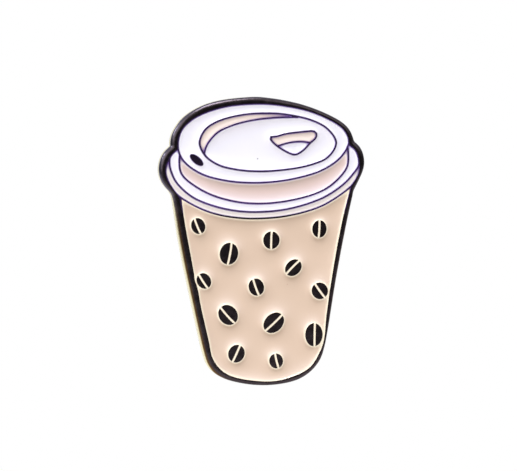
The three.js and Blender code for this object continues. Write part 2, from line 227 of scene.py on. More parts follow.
def tiled(loops, rings=(), pitch=None):
    """Triangles that fill the space between loops: (points, triangles, where each loop's points are).

    rings are distances from the edge at which a row of points follows it, and pitch is the spacing
    of the points further in."""
    extra = []
    for ring in rings:
        for loop in loops:
            for side in (-1, 1):
                row = loop + outward(loop) * ring * side
                row = row[inside(row, loops)]
                if len(row):
                    extra.append(row[distance(row, loops) > ring * 0.93])
    edge = np.concatenate(loops)
    if pitch:
        low, high = edge.min(axis=0), edge.max(axis=0)
        across = np.arange(low[0], high[0], pitch)
        up = np.arange(low[1], high[1], pitch * 0.866)     # rows of triangles with even sides
        x, z = np.meshgrid(across, up)
        x[1::2] += pitch / 2
        grid = np.stack([x.ravel(), z.ravel()], axis=1)
        grid = grid[inside(grid, loops)]
        extra.append(grid[distance(grid, loops) > max((0, *rings)) + pitch * 0.55])
    points = np.concatenate([edge, *extra])
    borders = []
    start = 0
    for loop in loops:
        borders += [(start + k, start + (k + 1) % len(loop)) for k in range(len(loop))]
        start += len(loop)
    spots, _, faces, sources, _, _ = geometry.delaunay_2d_cdt(
        [Vector(p) for p in points], borders, [], 0, 1e-6)
    place = {source: k for k, group in enumerate(sources) for source in group}
    spots = np.array([tuple(p) for p in spots])
    faces = np.array([f for f in faces if len(f) == 3])
    faces = faces[inside(spots[faces].mean(axis=1), loops)]
    a, b, c = (spots[faces[:, k]] for k in range(3))
    turn = (b[:, 0] - a[:, 0]) * (c[:, 1] - a[:, 1]) - (b[:, 1] - a[:, 1]) * (c[:, 0] - a[:, 0])
    faces[turn < 0] = faces[turn < 0][:, ::-1]
    places = []
    start = 0
    for loop in loops:
        places.append([place[start + k] for k in range(len(loop))])
        start += len(loop)
    return spots, faces, places


class Shell:
    """A closed skin put together from rows of points and the fillings between them."""

    def __init__(self):
        self.points = []
        self.faces = []
        self.marks = []

    def row(self, loop, y, mark):
        """Adds a loop's points at one depth, with one mark for them all or a mark for each."""
        start = len(self.points)
        self.points += [(x * MM, y * MM, z * MM) for x, z in loop]
        self.marks += np.broadcast_to(mark, len(loop)).tolist()
        return list(range(start, start + len(loop)))

    def skin(self, near, far):
        """A ring of faces between two rows."""
        for k in range(len(near)):
            after = (k + 1) % len(near)
            self.faces.append((near[k], near[after], far[after], far[k]))

    def band(self, loops, depths, marks):
        """Rows at their depths, with a skin from each to the next."""
        rows = [self.row(loop, y, mark) for loop, y, mark in zip(loops, depths, marks)]
        for near, far in zip(rows, rows[1:]):
            self.skin(near, far)
        return rows

    def fill(self, loops, rows, flip=False):
        """A flat filling between loops whose points are rows of the shell."""
        _, faces, places = tiled(loops)
        index = {p: r for row, place in zip(rows, places) for r, p in zip(row, place)}
        for a, b, c in faces.tolist():
            corners = (index[a], index[b], index[c])
            self.faces.append(corners[::-1] if flip else corners)

    def built(self, name, mark):
        """The object, with the marks on its points under the name that a finish reads."""
        mesh = bpy.data.meshes.new(name)
        mesh.from_pydata(self.points, [], self.faces)
        mesh.attributes.new(mark, "FLOAT", "POINT").data.foreach_set("value", self.marks)
        thing = bpy.data.objects.new(name, mesh)
        bpy.context.scene.collection.objects.link(thing)
        return thing


# ---- shader maths --------------------------------------------------------------------------------


class Sum:
    """A socket whose value can be used in an expression, which adds its Math nodes."""

    def __init__(self, nodes, socket):
        self.nodes = nodes
        self.socket = socket

    def _math(self, operation, a, b):
        return self.nodes.add("ShaderNodeMath", {"operation": operation}, {0: a, 1: b})

    def __add__(self, other):
        return self._math("ADD", self, other)

    def __radd__(self, other):
        return self._math("ADD", other, self)

    def __sub__(self, other):
        return self._math("SUBTRACT", self, other)

    def __rsub__(self, other):
        return self._math("SUBTRACT", other, self)

    def __mul__(self, other):
        return self._math("MULTIPLY", self, other)

    def __rmul__(self, other):
        return self._math("MULTIPLY", other, self)

    def between(self, low, high, smooth=True):
        """0 below low and 1 above high, eased or straight in between."""
        kind = "SMOOTHSTEP" if smooth else "LINEAR"
        return self.nodes.add(
            "ShaderNodeMapRange", {"interpolation_type": kind}, {"Value": self, 1: low, 2: high})


class Nodes:
    """A node tree and the one way that nodes are added to it."""

    def __init__(self, tree):
        self.tree = tree
        tree.nodes.clear()

    def add(self, kind, settings=None, inputs=None, output=0):
        """A node of any kind: its settings are set first, then its sockets' values or links."""
        node = self.tree.nodes.new(kind)
        for name, value in (settings or {}).items():
            setattr(node, name, value)
        for name, value in (inputs or {}).items():
            if isinstance(value, Sum):
                self.tree.links.new(value.socket, node.inputs[name])
            else:
                node.inputs[name].default_value = value
        return Sum(self, node.outputs[output]) if node.outputs else node

    def mix(self, factor, a, b):
        """Colour a where the factor is 0 and b where it is 1."""
        return self.add(
            "ShaderNodeMix", {"data_type": "RGBA"}, {0: factor, 6: rgba(a), 7: rgba(b)}, output=2)

    def mark(self, name):
        """A number painted on the mesh."""
        return self.add("ShaderNodeAttribute", {"attribute_name": name}, output="Fac")

    def place(self, axis=None):
        """Where the surface is, in millimetres, or one of its three numbers."""
        spot = self.add("ShaderNodeTexCoord", output="Object")
        spot = self.add("ShaderNodeVectorMath", {"operation": "SCALE"}, {0: spot, "Scale": 1 / MM})
        if axis is None:
            return spot
        return self.add("ShaderNodeSeparateXYZ", None, {0: spot}, output="XYZ".index(axis))

    def grain(self, scale, detail=2.0, roughness=0.5):
        """Noise with so many waves to the millimetre."""
        return self.add(
            "ShaderNodeTexNoise", None,
            {"Vector": self.place(), "Scale": scale, "Detail": detail, "Roughness": roughness})

    def bump(self, height, depth, after=None):
        """A normal bent by a height; depth is its size in millimetres."""
        inputs = {"Height": height, "Distance": depth * MM, "Strength": 1.0}
        if after is not None:
            inputs["Normal"] = after
        return self.add("ShaderNodeBump", None, inputs)


def rgba(colour):
    """A colour given as 0-255 screen values turned to a shader's own, or a socket left as it is."""
    if isinstance(colour, Sum):
        return colour
    linear = [c / 255 / 12.92 if c <= 10.3 else ((c / 255 + 0.055) / 1.055) ** 2.4 for c in colour]
    return (*linear, 1.0)


def finish(name, paint):
    """A material whose nodes and shader inputs come from a function."""
    material = bpy.data.materials.new(name)
    material.use_nodes = True
    nodes = Nodes(material.node_tree)
    shader = nodes.add("ShaderNodeBsdfPrincipled", None, paint(nodes))
    nodes.add("ShaderNodeOutputMaterial", None, {"Surface": shader})
    return material


# ---- finishes ------------------------------------------------------------------------------------


def enamel(name, colour, rim, shade, light, film, specks=(), thin=0.52):
    """Glossy fired colour. Where it climbs the metal it takes the rim colour, a painted reflection (on the
    tan a painted shade along the lines); slopes that face down get painted shade and those that face up
    painted light; at the very edge, past thin, the plating shows through it as film. specks are grains of
    dust: x, z, size, strength and colour."""
    def paint(nodes):
        climb, shade_lean = nodes.mark("climb"), nodes.mark("shade_lean")
        cloud = nodes.grain(0.35, 3.0).between(0.3, 0.7)
        body = nodes.mix(cloud * 0.5, colour, [c * 0.985 for c in colour])
        # painted shade where the surface faces down, painted light where it faces up
        body = nodes.mix((0 - shade_lean).between(0.0, 0.9, smooth=False), body, shade)
        body = nodes.mix(shade_lean.between(0.0, 0.9, smooth=False), body, light)
        # painted reflection: lighter where the enamel climbs the metal (darker on the tan, a painted shade)
        body = nodes.mix(climb.between(0.12, 0.7), body, rim)
        body = nodes.mix(climb.between(thin, 0.96, smooth=False), body, film)
        for x, z, size, strength, speck in specks:
            spot = nodes.add("ShaderNodeVectorMath", {"operation": "DISTANCE"}, {
                0: nodes.place(), 1: (x, FRONT + 0.4, z)}, output="Value")
            body = nodes.mix((1 - spot.between(size, size * 2.2)) * strength, body, speck)
        return {
            "Base Color": body,
            "Roughness": 0.14 + nodes.grain(2.0) * 0.08,
            "IOR": 1.5,
            "Normal": nodes.bump(nodes.grain(1.1, 2.0), 0.012),
        }
    return finish(name, paint)


def black_nickel(nodes):
    """Dark plating, mottled on the flats and violet on the lid's lines, that thins to pale brass down
    the outer wall; on the rounded front edge the wall mark paints a reflection, grey-violet up the lid,
    brown low on the cup and pale brass down the left. wall is 0 on the flats, 1 where the brass is bare,
    and below 0 on the lines."""
    wall = nodes.mark("wall")
    mottle = nodes.grain(1.6, 4.0, 0.6)
    line = (0 - wall) * nodes.place("Z").between(1.5, 4.5)
    plain = nodes.mix(mottle.between(0.3, 0.75), (61, 53, 57), (74, 66, 70))
    violet = nodes.mix(line.between(0.3, 0.9), plain, (128, 98, 176))
    # painted reflection on the rounded front edge: brown low on the cup, grey-violet higher up
    edge_reflection_tone = nodes.mix(nodes.place("Z").between(1.0, 6.5), (104, 76, 40), (112, 108, 124))
    plain_with_reflection = nodes.mix(wall.between(0.05, 0.4), violet, edge_reflection_tone)
    return {
        # pale brass: the outer wall's colour, and a painted reflection where the rounded edge's mark runs
        # high down the left
        "Base Color": nodes.mix(wall.between(0.4, 0.7), plain_with_reflection, (242, 233, 196)),
        "Metallic": 1.0,
        "Roughness": 0.16 + mottle * 0.12 + nodes.grain(9.0) * 0.05,
        "Normal": nodes.bump(nodes.grain(5.0, 3.0), 0.008, nodes.bump(nodes.grain(0.8), 0.03)),
    }


def plated(name, bright, dull, roughness, grain=7.0):
    """Plain plating with fine drawing marks and dull patches."""
    def paint(nodes):
        patch = nodes.grain(1.2, 4.0, 0.6)
        return {
            "Base Color": nodes.mix(patch.between(0.35, 0.75), bright, dull),
            "Metallic": 1.0,
            "Roughness": roughness + patch * 0.12,
            "Normal": nodes.bump(nodes.grain(grain, 3.0), 0.006),
        }
    return finish(name, paint)


BLACK_NICKEL = finish("black_nickel", black_nickel)
POST_PLATING = plated("post_plating", (104, 101, 106), (84, 80, 84), 0.22)
SOLDER = plated("grey_solder", (150, 148, 146), (104, 101, 100), 0.38, grain=3.0)
CLUTCH_NICKEL = plated("bright_nickel", (214, 211, 205), (198, 195, 188), 0.15)
SPRING_NICKEL = plated("spring_nickel", (206, 204, 199), (186, 184, 178), 0.19)
# rim is a painted reflection along the metal; shade and light are painted shade and painted light on the
# slopes
SAND = enamel(
    "sand_enamel", colour=(222, 197, 177), rim=(255, 243, 220), shade=(192, 164, 140),
    light=(242, 222, 210), film=(160, 130, 106), thin=0.84,
    specks=[(2.8, -4.8, 0.05, 0.3, (176, 120, 100))])
WHITE = enamel(
    "white_enamel", colour=(243, 241, 252), rim=(250, 248, 254), shade=(236, 230, 240),
    light=(252, 251, 255), film=(118, 92, 170),
    specks=[(-0.56, 9.23, 0.05, 0.75, (120, 112, 120))])
CREAM = enamel(
    "cream_enamel", colour=(224, 213, 210), rim=(242, 236, 232), shade=(196, 178, 182),
    light=(250, 245, 243), film=(104, 78, 144))
ROSE = enamel(
    "rose_enamel", colour=(228, 205, 200), rim=(246, 236, 236), shade=(184, 160, 144),
    light=(244, 232, 240), film=(104, 78, 140))
# the tan's rim is darker than its body: painted shade along the lines
TAN = enamel(
    "tan_enamel", colour=(244, 228, 220), rim=(216, 199, 193), shade=(176, 152, 144),
    light=(254, 247, 243), film=(104, 78, 134))

# ---- the struck plate ----------------------------------------------------------------------------

EDGE_STEP = 0.16
WOBBLE = 0.008             # how far a struck edge wanders
OUTER_SHARE = 0.68         # how much of the rim's width its rounded front edge takes up
OUTER_DEPTH = 0.42         # how far back that rounding reaches
BACK_EDGE = 0.14           # the rounding of the back's edge
LINE_EDGE = 0.03           # the rounding along the lines
SOLDER_GAP = 0.04
SEAT_RADIUS = radius("upper_post_solder") + SOLDER_GAP
SEAT_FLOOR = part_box("upper_post")[0].y / MM - FIT_GAP
ROUND_SIDES = 72


def wobbled(loop):
    """An outline with the small unevenness of a struck edge."""
    return loop + np.array([
        noise.noise_vector(Vector((x, z, 0.0)) * 0.9).to_2d() * WOBBLE for x, z in loop])


def circle(size, spot):
    """A round loop of a given radius about a spot."""
    turns = np.arange(ROUND_SIDES) * 2 * math.pi / ROUND_SIDES
    return np.stack([spot.x + size * np.cos(turns), spot.z + size * np.sin(turns)], axis=1)


STRUCK = [wobbled(flowing(loop, EDGE_STEP)) for loop in face_loops("base_plate", FRONT)]
STRUCK.sort(key=lambda loop: -abs(area(loop)))
OUTLINE, INNER = STRUCK[0], STRUCK[1:]


def rim_round():
    """How far in the rounded edge reaches at each point of the outline, evened out along it."""
    width = distance(OUTLINE, INNER)
    reach = len(width) // 60
    evened = np.mean([np.roll(width, k) for k in range(-reach, reach + 1)], axis=0)
    return np.minimum(evened * OUTER_SHARE, width - 2 * LINE_EDGE - 0.06)[:, None]


def reflection_share(out):
    """How much painted reflection the rounded front edge gets: most down the left of the cup, least along
    the bottom.
    """
    left = np.clip(-1.6 * out[:, 0] - 0.25, 0, 1)
    bottom = np.clip(-2 * out[:, 1] - 1, 0, 1)
    low = np.clip(1.6 - OUTLINE[:, 1] / 5, 0.25, 1)
    return 0.3 - 0.25 * bottom + 0.55 * left * low


def plate_side(out):
    """The plate's edge from its back to its face: rows of inset, y and the wall mark, which is how bare
    the plating is down the wall and a painted reflection on the rounded front edge.
    """
    reach, edge_reflection = rim_round(), reflection_share(out)
    turns = [math.radians(90 * k / 7) for k in range(8)]
    side = [(BACK_EDGE + 0.04, BACK, 0.0), (BACK_EDGE, BACK, 0.2)]
    for t in turns[2:]:
        inset, rise = BACK_EDGE * (1 - math.sin(t)), BACK_EDGE * (1 - math.cos(t))
        side.append((inset, BACK - rise, 0.6 + 0.4 * math.sin(t)))
    side += [(0.0, FRONT + 0.8, 1.0), (0.0, FRONT + 0.6, 0.9), (0.0, FRONT + 0.48, 0.65)]
    for t in turns:
        inset, depth = reach * (1 - math.cos(t)), OUTER_DEPTH * (1 - math.sin(t))
        # painted reflection on the rounded front edge, strongest at its outer side
        side.append((inset, FRONT + depth, edge_reflection * math.cos(t) ** 2))
    side.append((reach + 0.012, FRONT, 0.0))
    return side


LINE_SIDE = [(0, POCKET_FLOOR), (0, FRONT + LINE_EDGE), (LINE_EDGE * 0.3, FRONT + LINE_EDGE * 0.3),
             (LINE_EDGE, FRONT), (LINE_EDGE + 0.01, FRONT)]
SEAT_SIDE = [(SEAT_RADIUS + 0.04, BACK), (SEAT_RADIUS, BACK - 0.04), (SEAT_RADIUS, SEAT_FLOOR)]


def build_plate():
    """The plate, with its rounded rim, lines and islands, the pockets between them, and the two seats
    for the posts' heads in its back."""
    shell = Shell()
    out = outward(OUTLINE)
    insets, depths, marks = zip(*plate_side(out))
    loops = [OUTLINE - out * inset for inset in insets]
    rows = shell.band(loops, depths, marks)
    face, face_rows = [loops[-1]], [rows[-1]]
    back, back_rows = [loops[0]], [rows[0]]
    floor, floor_rows = [], []
    insets, depths = zip(*LINE_SIDE)
    for loop in INNER:
        out = outward(loop)
        inner = [loop - out * inset for inset in insets]
        line = -1.0 if area(loop) < 0 else -0.5            # a pocket's edge, or an island's
        rows = shell.band(inner, depths, [line] * len(inner))
        face.append(inner[-1])
        face_rows.append(rows[-1])
        floor.append(inner[0])
        floor_rows.append(rows[0])
    shell.fill(face, face_rows)
    shell.fill(floor, floor_rows)
    sizes, depths = zip(*SEAT_SIDE)
    for place in PLACES:
        seat = [circle(size, POSTS[place]) for size in sizes]
        rows = shell.band(seat, depths, [0.0] * len(seat))
        back.append(seat[0])
        back_rows.append(rows[0])
        shell.fill([seat[-1]], [rows[-1]], flip=True)
    shell.fill(back, back_rows, flip=True)
    plate = settled(shell.built("struck_plate", "wall"), 40)
    plate.data.materials.append(BLACK_NICKEL)
    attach(plate, "pin")
    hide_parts("base_plate")


# ---- enamel --------------------------------------------------------------------------------------

PITCH = 0.15
EDGE_ROWS = ((0.035, 0.08, 0.135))
CONTACT = 0.03             # the enamel meets the metal this far below its top
FILM = (0.075, 0.16)       # a steep thin film against the metal: how deep, and how far out it reaches
BOWL = (0.34, 0.75)        # the wide bowl that the enamel sinks into as it dries
BITE = 0.012               # how far the pool runs into the metal, so that no gap shows
MOST_STEPS = 220           # the smoothing stops after so many steps,
SETTLED = 1e-14            # or once what is left to move is less than this


def relaxed(spots, faces, held, reach):
    """1 at the held points, dying away over a reach, as the skin of a liquid does off a wall. It is the
    smooth sheet that strains least, found in ever smaller steps."""
    count = len(spots)
    corners = [spots[faces[:, k]] for k in range(3)]
    first, second = corners[1] - corners[0], corners[2] - corners[0]
    double = np.abs(first[:, 0] * second[:, 1] - first[:, 1] * second[:, 0]) + 1e-9
    share = np.bincount(faces.ravel(), np.repeat(double / 6, 3), count) / reach**2
    near, far, pull = [], [], []
    for k in range(3):
        i, j, apex = (k + 1) % 3, (k + 2) % 3, corners[k]
        near.append(faces[:, i])
        far.append(faces[:, j])
        pull.append(((corners[i] - apex) * (corners[j] - apex)).sum(axis=1) / double / 2)
    near, far, pull = (np.concatenate(part) for part in (near, far, pull))

    def strain(height):
        flow = pull * (height[near] - height[far])
        return np.bincount(near, flow, count) - np.bincount(far, flow, count) + share * height

    free = np.ones(count)
    free[held] = 0
    height = 1.0 - free
    rest = -strain(height) * free
    move = rest.copy()
    size = rest @ rest
    for _ in range(MOST_STEPS):
        if size < SETTLED:
            break
        push = strain(move) * free
        step = size / (move @ push)
        height += step * move
        rest -= step * push
        size, before = rest @ rest, size
        move = rest + move * (size / before)
    return height


def uphill(spots, faces, height):
    """How fast a height climbs towards +Z at each point."""
    a, b, c = (spots[faces[:, k]] for k in range(3))
    ha, hb, hc = (height[faces[:, k]] for k in range(3))
    double = (b[:, 0] - a[:, 0]) * (c[:, 1] - a[:, 1]) - (b[:, 1] - a[:, 1]) * (c[:, 0] - a[:, 0])
    climb = (hb - ha) * (a[:, 0] - c[:, 0]) + (hc - ha) * (b[:, 0] - a[:, 0])
    total = np.bincount(faces.ravel(), np.repeat(climb, 3), len(spots))
    return total / np.maximum(np.bincount(faces.ravel(), np.repeat(double, 3), len(spots)), 1e-9)


def nearest_struck(rough):
    """The plate's own edge that lies along a rough outline."""
    def unlike(loop):
        return (np.linalg.norm(loop.mean(axis=0) - rough.mean(axis=0))
                + abs(abs(area(loop)) ** 0.5 - abs(area(rough)) ** 0.5))
    return min(INNER, key=unlike)


def build_enamel(node, body):
    """One pool: its outline is the pocket's, and its face sinks away from the metal all round."""
    loops = [nearest_struck(rough) for rough in face_loops(node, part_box(node)[0].y / MM)]
    loops = [loop - outward(loop) * BITE for loop in loops]
    spots, faces, places = tiled(loops, EDGE_ROWS, PITCH)
    held = np.array([p for place in places for p in place])
    film = relaxed(spots, faces, held, FILM[1])
    bowl = relaxed(spots, faces, held, BOWL[1])
    y = FRONT + CONTACT + FILM[0] * (1 - film) + BOWL[0] * (1 - bowl)
    points = [(x * MM, h * MM, z * MM) for (x, z), h in zip(spots, y)]
    skin = [tuple(face) for face in faces.tolist()]
    marks = film.tolist()
    # the bowl's slope towards +Z, which sets the painted shade and painted light
    shade_leans = (-uphill(spots, faces, bowl) * BOWL[1]).tolist()
    under = {}
    for place in places:
        for p in place:
            under[p] = len(points)
            points.append((spots[p][0] * MM, ENAMEL_FLOOR * MM, spots[p][1] * MM))
            marks.append(1.0)
            shade_leans.append(0.0)
        for a, b in zip(place, place[1:] + place[:1]):
            skin.append((a, b, under[b], under[a]))
    _, floor, floor_places = tiled(loops)
    index = {q: under[p] for place, other in zip(places, floor_places) for p, q in zip(place, other)}
    skin += [tuple(index[q] for q in face[::-1]) for face in floor.tolist()]
    mesh = bpy.data.meshes.new(node + "_pool")
    mesh.from_pydata(points, [], skin)
    for mark, values in (("climb", marks), ("shade_lean", shade_leans)):
        mesh.attributes.new(mark, "FLOAT", "POINT").data.foreach_set("value", values)
    pool = bpy.data.objects.new(node + "_pool", mesh)
    bpy.context.scene.collection.objects.link(pool)
    settled(pool, 75)
    pool.data.materials.append(body)
    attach(pool, "pin")
    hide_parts(node)


POOLS = {
    "enamel_cup_body": (SAND, "sand_enamel"),
    "enamel_lid_lip": (CREAM, "cream_enamel"),
    "enamel_lid_skirt": (WHITE, "white_enamel"),
    "enamel_lid_wall": (ROSE, "rose_enamel"),
    "enamel_lid_rim": (WHITE, "white_enamel"),
    "enamel_lid_crescent": (TAN, "sand_enamel"),
    "enamel_lid_recess": (WHITE, "white_enamel"),
    "enamel_tab_upper": (TAN, "sand_enamel"),
    "enamel_tab_lower": (WHITE, "white_enamel"),
}

build_plate()
for node, (body, slot) in POOLS.items():
    build_enamel(node, body)

# ---- posts, solder and clutches ------------------------------------------------------------------

POST_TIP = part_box("upper_post")[1].y / MM
FOOT_RADIUS = radius("upper_post")
FOOT_TOP = 0.2
SHAFT, SHAFT_FILLET = 0.575, 0.24
GROOVE, GROOVE_HALF = 0.43, 0.38           # its radius, and half of its length
JAWS = {"right": 3.42, "left": 3.77}       # heights of the two jaws over the clutch's front
CAP_SHEET, STRIP_SHEET = 0.28, 0.25
CAP_RADIUS = 5.7
CAP_HOLE = 0.8
STRAP_HEIGHT = CAP_SHEET + 0.04 + STRIP_SHEET / 2
LEG = 2.72                                 # how far out the spring's legs stand
STRAP_HALF, NECK_HALF = 2.2, 1.1
FOOT_BEND, JAW_BEND = 0.45, 0.32
JAW_HOLE, JAW_TRAVEL = 0.62, 0.5
WINDOW_SILL = 2.02                         # how high in the left leg the right wing's way out starts
EAR_SHEET = 0.16
EAR_CURL = ((0.1, 0.1), (0.22, 0.06), (0.14, 0.02), (0.1, 0.1), (0.02, 0.16), (-0.03, 0.14))


def lathed(name, spot, profile, filled=True, sides=ROUND_SIDES):
    """A shape turned about a line along Y: the profile is (radius, y), in the order it is drawn out."""
    let_go()
    first, y = profile[0]
    bpy.ops.mesh.primitive_circle_add(
        vertices=sides, radius=first * MM, fill_type="NGON" if filled else "NOTHING",
        location=(spot.x * MM, y * MM, spot.z * MM), rotation=(math.pi / 2, 0, 0))
    thing = bpy.context.object
    thing.name = thing.data.name = name
    bpy.ops.object.mode_set(mode="EDIT")
    bpy.ops.mesh.select_all(action="SELECT")
    for (near, y), (far, further) in zip(profile, profile[1:]):
        bpy.ops.mesh.extrude_region_move(
            TRANSFORM_OT_translate={"value": (0, (further - y) * MM, 0)})
        bpy.ops.transform.resize(
            value=(far / near, 1, far / near), center_override=(spot.x * MM, further * MM, spot.z * MM))
    bpy.ops.object.mode_set(mode="OBJECT")
    return thing


def rounded_off(thing, width, angle=35):
    """Takes off the edges that turn further than the angle, in degrees."""
    bevel = thing.modifiers.new("soft_edges", "BEVEL")
    bevel.width = width * MM
    bevel.segments = 2
    bevel.limit_method = "ANGLE"
    bevel.angle_limit = math.radians(angle)


def thickened(thing, sheet):
    """Gives a face the thickness of its sheet, half on each side."""
    wall = thing.modifiers.new("sheet", "SOLIDIFY")
    wall.thickness = sheet * MM
    wall.offset = 0
    wall.use_even_offset = True


def build_post(place):
    """A nail-headed post with the groove that the jaws bite into, and a blunt point."""
    spot = POSTS[place]
    bite = CLUTCH_FRONT + (JAWS["right"] + JAWS["left"]) / 2
    low, high = bite - GROOVE_HALF, bite + GROOVE_HALF
    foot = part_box(place + "_post")[0].y / MM
    turns = [math.radians(90 * k / 5) for k in range(6)]
    profile = [(FOOT_RADIUS, foot), (FOOT_RADIUS, FOOT_TOP - 0.03), (FOOT_RADIUS - 0.05, FOOT_TOP),
               (1.25, FOOT_TOP), (1.2, FOOT_TOP - 0.04), (1.1, FOOT_TOP - 0.04), (1.05, FOOT_TOP)]
    profile += [(SHAFT + SHAFT_FILLET * (1 - math.sin(t)), FOOT_TOP + SHAFT_FILLET * (1 - math.cos(t)))
                for t in turns]
    profile += [(SHAFT, low - 0.16), (SHAFT - 0.03, low - 0.13), (GROOVE + 0.02, low - 0.02),
                (GROOVE, low + 0.03), (GROOVE, high - 0.03), (GROOVE + 0.02, high + 0.02),
                (SHAFT - 0.03, high + 0.13), (SHAFT, high + 0.16), (SHAFT, high + 0.34),
                (SHAFT - 0.03, high + 0.42)]
    profile += [(0.14, POST_TIP - 0.12), (0.1, POST_TIP - 0.05), (0.05, POST_TIP - 0.01), (0.005, POST_TIP)]
    post = settled(lathed(place + "_pin_post", spot, profile), 40)
    post.data.materials.append(POST_PLATING)
    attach(post, "pin")
    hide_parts(place + "_post")


def build_solder(place):
    """The uneven ring of solder round a post's foot."""
    spot = POSTS[place]
    inner, outer = FOOT_RADIUS + 0.02, SEAT_RADIUS - 0.02
    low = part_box(place + "_post_solder")[0].y / MM
    profile = [(inner, low), (outer, low), (outer, -0.03), (outer - 0.05, 0.0), (outer - 0.13, 0.035),
               (inner + 0.13, 0.08), (inner + 0.05, 0.13), (inner, 0.15), (inner, low)]
    solder = lathed(place + "_solder_ring", spot, profile, filled=False)
    for vertex in solder.data.vertices:
        vertex.co += noise.noise_vector(vertex.co * 900) * 0.012 * MM
    settled(solder, 60)
    solder.data.materials.append(SOLDER)
    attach(solder, "pin")
    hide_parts(place + "_post_solder")


def add_ear(spot, x, side):
    """A tab struck up from the cap and curled over the strap's edge."""
    let_go()
    y = CLUTCH_FRONT + CAP_SHEET - 0.06
    z = spot.z + side * (STRAP_HALF + 0.42)
    bpy.ops.mesh.primitive_plane_add(
        size=1, location=((spot.x + x) * MM, y * MM, z * MM), rotation=(math.pi / 2, 0, 0))
    ear = bpy.context.object
    ear.scale = (1.2 * MM, 0.28 * MM, 1)
    bpy.ops.object.transform_apply(location=True, rotation=True, scale=True)
    bpy.ops.object.mode_set(mode="EDIT")
    bpy.ops.mesh.select_all(action="DESELECT")
    bpy.ops.object.mode_set(mode="OBJECT")
    inner = min(abs(v.co.z - spot.z * MM) for v in ear.data.vertices)
    for edge in ear.data.edges:
        edge.select = all(
            abs(abs(ear.data.vertices[k].co.z - spot.z * MM) - inner) < 1e-7 for k in edge.vertices)
    bpy.ops.object.mode_set(mode="EDIT")
    for up, across in EAR_CURL:
        bpy.ops.mesh.extrude_region_move(
            TRANSFORM_OT_translate={"value": (0, up * MM, -side * across * MM)})
    bpy.ops.object.mode_set(mode="OBJECT")
    thickened(ear, EAR_SHEET)
    rounded_off(ear, 0.04)
    return settled(ear, 40)


def build_cap(place):
    """The dished cap, with its rim rolled over and the four ears that hold the strap."""
    spot = POSTS[place]
    mid = CLUTCH_FRONT + CAP_SHEET / 2
    profile = [(CAP_HOLE, mid), (1.0, mid), (1.5, mid), (2.0, mid), (2.15, mid), (2.6, mid),
               (3.0, mid), (3.15, mid + 0.05), (3.35, mid + 0.09), (3.55, mid + 0.05), (3.7, mid),
               (4.3, mid), (4.75, mid), (5.0, mid + 0.04), (5.3, mid + 0.16), (5.5, mid + 0.42),
               (CAP_RADIUS - 0.14, mid + 0.68), (5.5, mid + 0.93), (5.32, mid + 1.06), (5.14, mid + 1.04),
               (5.02, mid + 0.92)]
    cap = lathed(place + "_cap_dish", spot, profile, filled=False, sides=56)
    thickened(cap, CAP_SHEET)
    curve = cap.modifiers.new("smooth_pressing", "SUBSURF")
    curve.levels = curve.render_levels = 1
    settled(cap, 50)
    ears = [add_ear(spot, x, side) for x in (-1.35, 1.35) for side in (-1, 1)]
    take(cap)
    for ear in ears:
        ear.select_set(True)
    bpy.ops.object.join()
    let_go()
    cap.data.materials.clear()
    cap.data.materials.append(CLUTCH_NICKEL)
    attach(cap, place + "_clutch")
    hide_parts(place + "_clutch_cap")


def bent(corners, radii, steps=8):
    """A line through corners, each taken round a bend of its own: rows of (x, y), close together."""
    corners = [np.array(c, float) for c in corners]
    line = [corners[0]]
    for before, corner, after, r in zip(corners, corners[1:], corners[2:], radii):
        a = (before - corner) / np.linalg.norm(before - corner)
        b = (after - corner) / np.linalg.norm(after - corner)
        start, end = corner + a * r, corner + b * r
        for t in np.arange(steps + 1) / steps:
            line.append(start * (1 - t)**2 + corner * 2 * t * (1 - t) + end * t**2)
    line.append(corners[-1])
    return np.array(line)


class Strip:
    """A blank cut from sheet and bent along a line: s runs along the line, z across it."""

    def __init__(self, line):
        self.line = line
        self.along = np.concatenate([[0], np.cumsum(np.linalg.norm(np.diff(line, axis=0), axis=1))])

    def at(self, s):
        """Where the line is, as (x, y), at each s."""
        return np.stack([np.interp(s, self.along, self.line[:, k]) for k in (0, 1)], axis=1)

    def reach(self, x):
        """The s at which the line last passes a given x."""
        across = self.line[:, 0]
        crossed = [k for k in range(len(across) - 1)
                   if (across[k] - x) * (across[k + 1] - x) <= 0 and across[k] != across[k + 1]]
        k = crossed[-1]
        share = (x - across[k]) / (across[k + 1] - across[k])
        return self.along[k] + share * (self.along[k + 1] - self.along[k])

    def cut(self, name, loops, spot, emboss, side=1):
        """The sheet inside the loops, bent along the line and embossed by a height over (x, z)."""
        edges = [flowing(np.array(loop), 0.12, 60) for loop in loops]
        spots, faces, _ = tiled(edges, pitch=0.2)
        place = self.at(spots[:, 0])
        z = spots[:, 1]
        y = place[:, 1] + emboss(place[:, 0], z)
        points = [((spot.x + side * x) * MM, (CLUTCH_FRONT + h) * MM, (spot.z + w) * MM)
                  for (x, _), h, w in zip(place, y, z)]
        mesh = bpy.data.meshes.new(name)
        mesh.from_pydata(points, [], [tuple(f) for f in faces.tolist()])
        thing = bpy.data.objects.new(name, mesh)
        bpy.context.scene.collection.objects.link(thing)
        thickened(thing, STRIP_SHEET)
        rounded_off(thing, 0.045, 50)
        return settled(thing, 40)


def capsule(start, end, radius, count=10):
    """An outline with round ends, from one centre to another along s."""
    turns = [math.pi / 2 + math.pi * k / count for k in range(count + 1)]
    near = [(start + radius * math.cos(t), radius * math.sin(t)) for t in turns]
    return near + [(end - radius * math.cos(t), -radius * math.sin(t)) for t in turns]


def window(start, end, half, corner=0.25, cut=0.08):
    """A slot's outline, from one s to another, with its corners rounded off."""
    lower = [(start, -half + corner), (start + cut, -half + cut), (start + corner, -half),
             (end - corner, -half), (end - cut, -half + cut), (end, -half + corner)]
    return lower + [(s, -z) for s, z in reversed(lower)]


